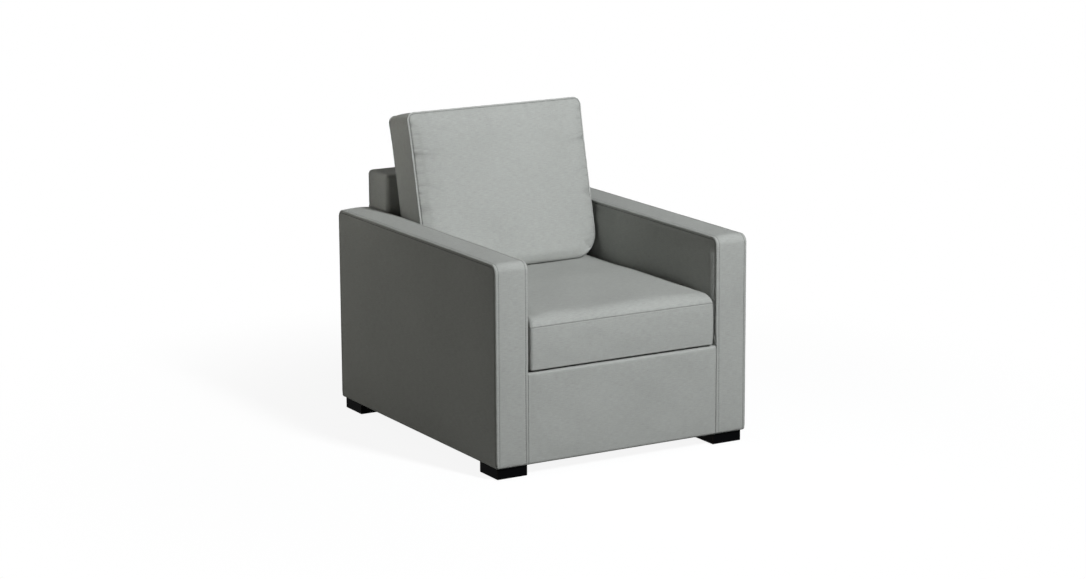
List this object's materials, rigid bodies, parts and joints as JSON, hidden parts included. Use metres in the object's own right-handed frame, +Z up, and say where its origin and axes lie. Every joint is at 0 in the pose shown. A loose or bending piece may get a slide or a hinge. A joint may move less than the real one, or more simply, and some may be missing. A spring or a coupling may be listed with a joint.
{
  "type": "upholstered armchair",
  "caption": "Track-arm upholstered armchair with a loose box seat cushion, a loose back cushion, a zig-zag sprung timber frame and block feet.",
  "frame": {"origin": "on the floor, at the middle of the chair's footprint", "axes": "+Z up, +X to the right as seen from the front, the chair faces -Y"},
  "size_m": [0.84, 0.972, 0.9382],
  "materials": {
    "cover": "matte",
    "foam": "matte",
    "wadding": "matte",
    "timber": "matte",
    "board": "matte",
    "spring_steel": "satin",
    "fittings": "satin",
    "webbing": "matte",
    "dust_cloth": "matte",
    "feet": "satin",
    "glide": "satin",
    "zip": "satin"
  },
  "bodies": {
    "chair": {"front_rail": "timber", "rear_rail": "timber", "left_side_rail": "timber", "right_side_rail": "timber", "spring_rail": "timber", "left_arm_front_post": "timber", "right_arm_front_post": "timber", "left_arm_rear_post": "timber", "right_arm_rear_post": "timber", "left_arm_top_rail": "timber", "right_arm_top_rail": "timber", "left_back_post": "timber", "right_back_post": "timber", "back_top_rail": "timber", "back_lower_rail": "timber", "corner_blocks": "timber", "left_arm_inner_board": "board", "right_arm_inner_board": "board", "left_arm_outer_board": "board", "right_arm_outer_board": "board", "seat_springs": "spring_steel", "spring_clips": "fittings", "spring_ties": "webbing", "back_webbing": "webbing", "spring_cloth": "dust_cloth", "deck_pad": "foam", "deck_cloth": "cover", "left_arm_pad": "foam", "right_arm_pad": "foam", "front_pad": "foam", "back_pad": "foam", "rear_board": "board", "rear_wadding": "wadding", "left_arm_outer_panel": "cover", "right_arm_outer_panel": "cover", "left_arm_inner_panel": "cover", "right_arm_inner_panel": "cover", "left_arm_band": "cover", "right_arm_band": "cover", "front_panel": "cover", "inside_back_panel": "cover", "outside_back_panel": "cover", "dust_cover": "dust_cloth", "front_left_foot": "feet", "front_right_foot": "feet", "rear_left_foot": "feet", "rear_right_foot": "feet", "foot_bolts": "fittings", "tee_nuts": "fittings", "foot_glides": "glide"},
    "seat_cushion": {"seat_cushion_cover": "cover", "seat_cushion_core": "foam", "seat_cushion_zip": "zip"},
    "seat_zip_slider": {"seat_zip_slider": "zip"},
    "back_cushion": {"back_cushion_cover": "cover", "back_cushion_core": "wadding", "back_cushion_zip": "zip"},
    "back_zip_slider": {"back_zip_slider": "zip"}
  },
  "joints": [
    {"name": "seat_cushion_slide", "type": "slide", "parent": "chair", "child": "seat_cushion", "axis": [0, -1, 0], "range_m": [0, 0.86]},
    {"name": "back_cushion_lift", "type": "slide", "parent": "chair", "child": "back_cushion", "axis": [0, 0, 1], "range_m": [0, 0.32]},
    {"name": "seat_zip_run", "type": "slide", "parent": "seat_cushion", "child": "seat_zip_slider", "axis": [1, 0, 0], "range_m": [0, 0.481]},
    {"name": "back_zip_run", "type": "slide", "parent": "back_cushion", "child": "back_zip_slider", "axis": [1, 0, 0], "range_m": [0, 0.441]}
  ]
}
